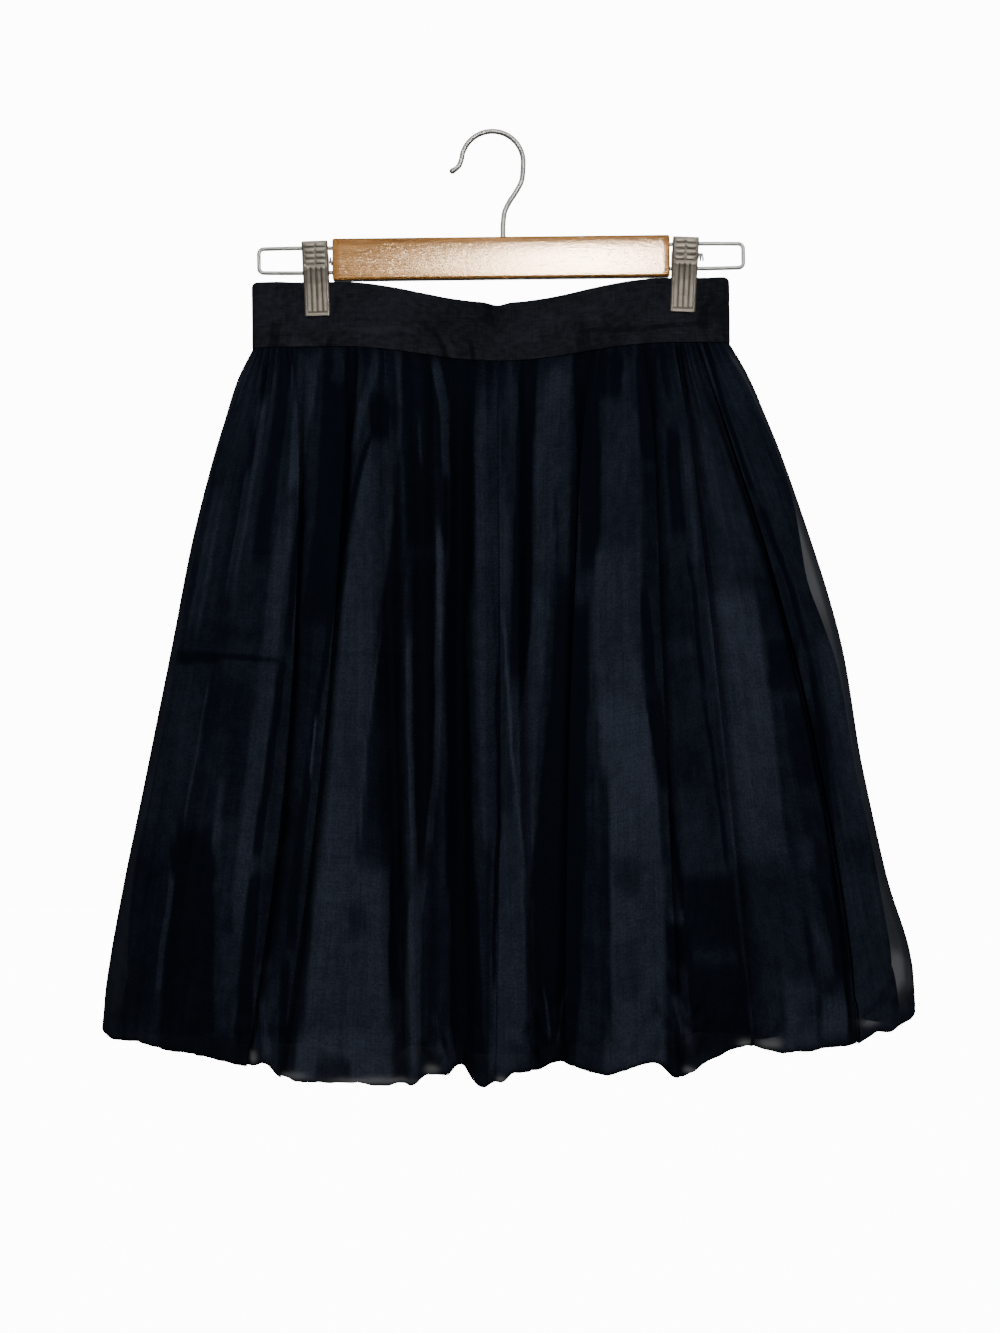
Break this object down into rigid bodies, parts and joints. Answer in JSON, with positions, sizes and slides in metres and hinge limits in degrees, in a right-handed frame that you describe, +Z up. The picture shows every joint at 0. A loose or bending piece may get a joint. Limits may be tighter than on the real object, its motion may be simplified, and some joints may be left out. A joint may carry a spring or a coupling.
{
  "type": "balloon skirt on a clip hanger",
  "caption": "Sheer pleated balloon skirt with lining and plain waistband, hanging by two metal clips from a wooden bar hanger with a wire hook.",
  "frame": {"origin": "inside of the hook's crown, where the rail carries the hanger", "axes": "+Z up, -Y to the front of the skirt, +X to the viewer's right of the front"},
  "size_m": [0.5691, 0.1187, 0.6568],
  "materials": {
    "organza": "sheer black organza with a cool sheen",
    "lining": "opaque black lining cloth",
    "waistband_cloth": "matt black slub-woven cloth",
    "varnished_beech": "light beech under gloss varnish",
    "plated_steel": "nickel-plated steel sheet and wire"
  },
  "bodies": {
    "root": {"organza_front": "organza", "organza_back": "organza", "lining_front": "lining", "lining_back": "lining", "waistband_front": "waistband_cloth", "waistband_back": "waistband_cloth", "hanger_bar": "varnished_beech", "hanger_hook": "plated_steel", "hanger_loop_left": "plated_steel", "hanger_loop_right": "plated_steel", "clip_left_front_jaw": "plated_steel", "clip_left_back_jaw": "plated_steel", "clip_left_pin": "plated_steel", "clip_left_spring": "plated_steel", "clip_right_front_jaw": "plated_steel", "clip_right_back_jaw": "plated_steel", "clip_right_pin": "plated_steel", "clip_right_spring": "plated_steel"}
  },
  "joints": []
}
